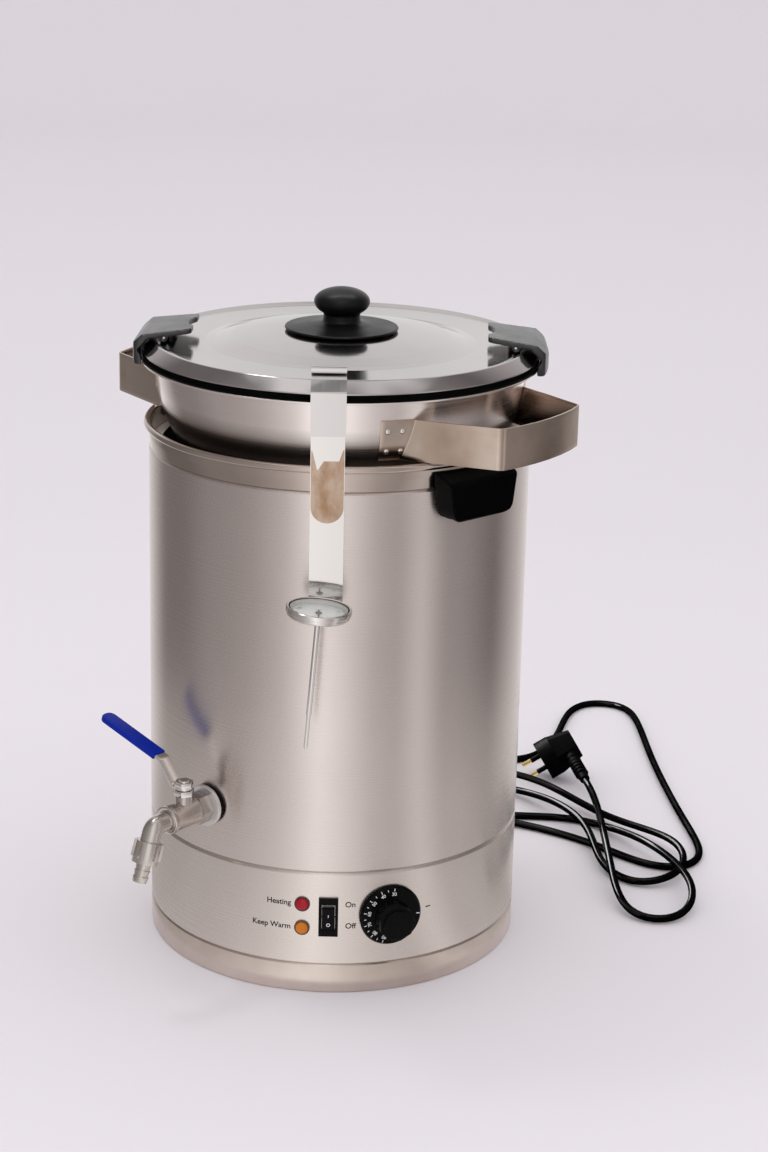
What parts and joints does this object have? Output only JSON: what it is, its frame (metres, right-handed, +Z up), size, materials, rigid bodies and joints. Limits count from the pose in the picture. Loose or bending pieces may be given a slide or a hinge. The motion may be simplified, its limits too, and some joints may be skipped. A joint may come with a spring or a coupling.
{
  "type": "electric wax melting urn",
  "caption": "Stainless water-bath wax melter: round urn with thermostat, switch and drain tap, lift-out bowl with strip handles, clipped lid and hanging dial thermometer.",
  "frame": {"origin": "middle of the base's underside, on the floor", "axes": "+Z up, the control panel faces -Y, +X to the right seen from the front"},
  "size_m": [0.5149, 0.7075, 0.5292],
  "materials": {
    "jacket_steel": "brushed round the body",
    "polished_steel": "polished",
    "tinted_steel": "heat tinted, smooth",
    "cast_steel": "cast and bead blasted",
    "fitting_steel": "machined",
    "heater_metal": "plain",
    "brass": "bright",
    "black_plastic": "fine texture",
    "gloss_black": "glossy",
    "clip_plastic": "matt grey black",
    "black_rubber": "smooth",
    "blue_vinyl": "dipped vinyl",
    "red_lens": "clear tinted",
    "amber_lens": "clear tinted",
    "dial_face": "printed scale",
    "lens_glass": "clear",
    "needle_black": "matt",
    "terminal_plastic": "moulded"
  },
  "bodies": {
    "urn": {"base_pan": "jacket_steel", "base_screws": "fitting_steel", "control_housing": "jacket_steel", "outer_jacket": "jacket_steel", "rim_ring": "polished_steel", "water_tank": "polished_steel", "heat_plate": "heater_metal", "heating_element": "heater_metal", "thermostat_body": "black_plastic", "sensor_bulb": "brass", "terminal_block": "terminal_plastic", "switch_housing": "black_plastic", "lamp_bezels": "black_plastic", "red_lamp": "red_lens", "amber_lamp": "amber_lens", "side_handle_right": "black_plastic", "side_handle_left": "black_plastic", "handle_screws": "fitting_steel", "tap_gasket": "black_rubber", "tap_flange": "fitting_steel", "tap_lock_nut": "fitting_steel", "valve_body": "cast_steel", "packing_nut": "fitting_steel", "spout_elbow": "cast_steel", "union_nut": "cast_steel", "hose_tail": "cast_steel", "cable_gland": "black_plastic", "cord": "black_rubber", "plug_body": "black_plastic", "plug_pins": "brass"},
    "pot": {"pot_bowl": "polished_steel", "pot_handle_right": "tinted_steel", "pot_handle_left": "tinted_steel", "pot_rivets": "fitting_steel"},
    "lid": {"lid_shell": "polished_steel", "lid_gasket": "black_rubber", "lid_knob": "gloss_black", "knob_screw": "fitting_steel", "clip_brackets": "black_plastic", "clip_pins": "fitting_steel"},
    "right_clip": {"clip_right": "clip_plastic"},
    "left_clip": {"clip_left": "clip_plastic"},
    "thermometer": {"hook": "polished_steel", "strip": "polished_steel", "gauge_case": "polished_steel", "gauge_face": "dial_face", "gauge_lens": "lens_glass", "probe_stem": "polished_steel"},
    "needle": {"gauge_needle": "needle_black"},
    "lever": {"tap_stem": "fitting_steel", "valve_ball": "fitting_steel", "tap_lever": "fitting_steel", "lever_sleeve": "blue_vinyl", "lever_nut": "fitting_steel"},
    "switch_rocker": {"rocker": "gloss_black"},
    "dial": {"dial_knob": "gloss_black", "thermostat_shaft": "fitting_steel"}
  },
  "joints": [
    {"name": "pot_lift", "type": "slide", "parent": "urn", "child": "pot", "axis": [0, 0, 1], "range_m": [0, 0.18]},
    {"name": "lid_lift", "type": "slide", "parent": "pot", "child": "lid", "axis": [0, 0, 1], "range_m": [0, 0.12]},
    {"name": "thermometer_lift", "type": "slide", "parent": "lid", "child": "thermometer", "axis": [0, 0, 1], "range_m": [0, 0.06]},
    {"name": "right_clip_hinge", "type": "hinge", "parent": "lid", "child": "right_clip", "pos_m": [0.13531, -0.00709, 0.491], "axis": [-0.0523, -0.9986, 0], "range_deg": [0, 8], "stiffness_Nm_per_rad": 0.5, "springref_deg": -11.46},
    {"name": "left_clip_hinge", "type": "hinge", "parent": "lid", "child": "left_clip", "pos_m": [-0.13531, 0.00709, 0.491], "axis": [0.0523, 0.9986, 0], "range_deg": [0, 8], "stiffness_Nm_per_rad": 0.5, "springref_deg": -11.46},
    {"name": "needle_turn", "type": "hinge", "parent": "thermometer", "child": "needle", "pos_m": [-0.01329, -0.1838, 0.32369], "axis": [0.0785, 0, 0.9969], "range_deg": [-120, 120]},
    {"name": "tap_turn", "type": "hinge", "parent": "urn", "child": "lever", "pos_m": [-0.11495, -0.13459, 0.143], "axis": [0, 0, 1], "range_deg": [0, 90]},
    {"name": "rocker_tilt", "type": "hinge", "parent": "urn", "child": "switch_rocker", "pos_m": [-0.00259, -0.14848, 0.065], "axis": [-0.9998, 0.0174, 0], "range_deg": [0, 18]},
    {"name": "dial_turn", "type": "hinge", "parent": "urn", "child": "dial", "pos_m": [0.04511, -0.14306, 0.065], "axis": [-0.3007, 0.9537, 0], "range_deg": [0, 270]}
  ]
}
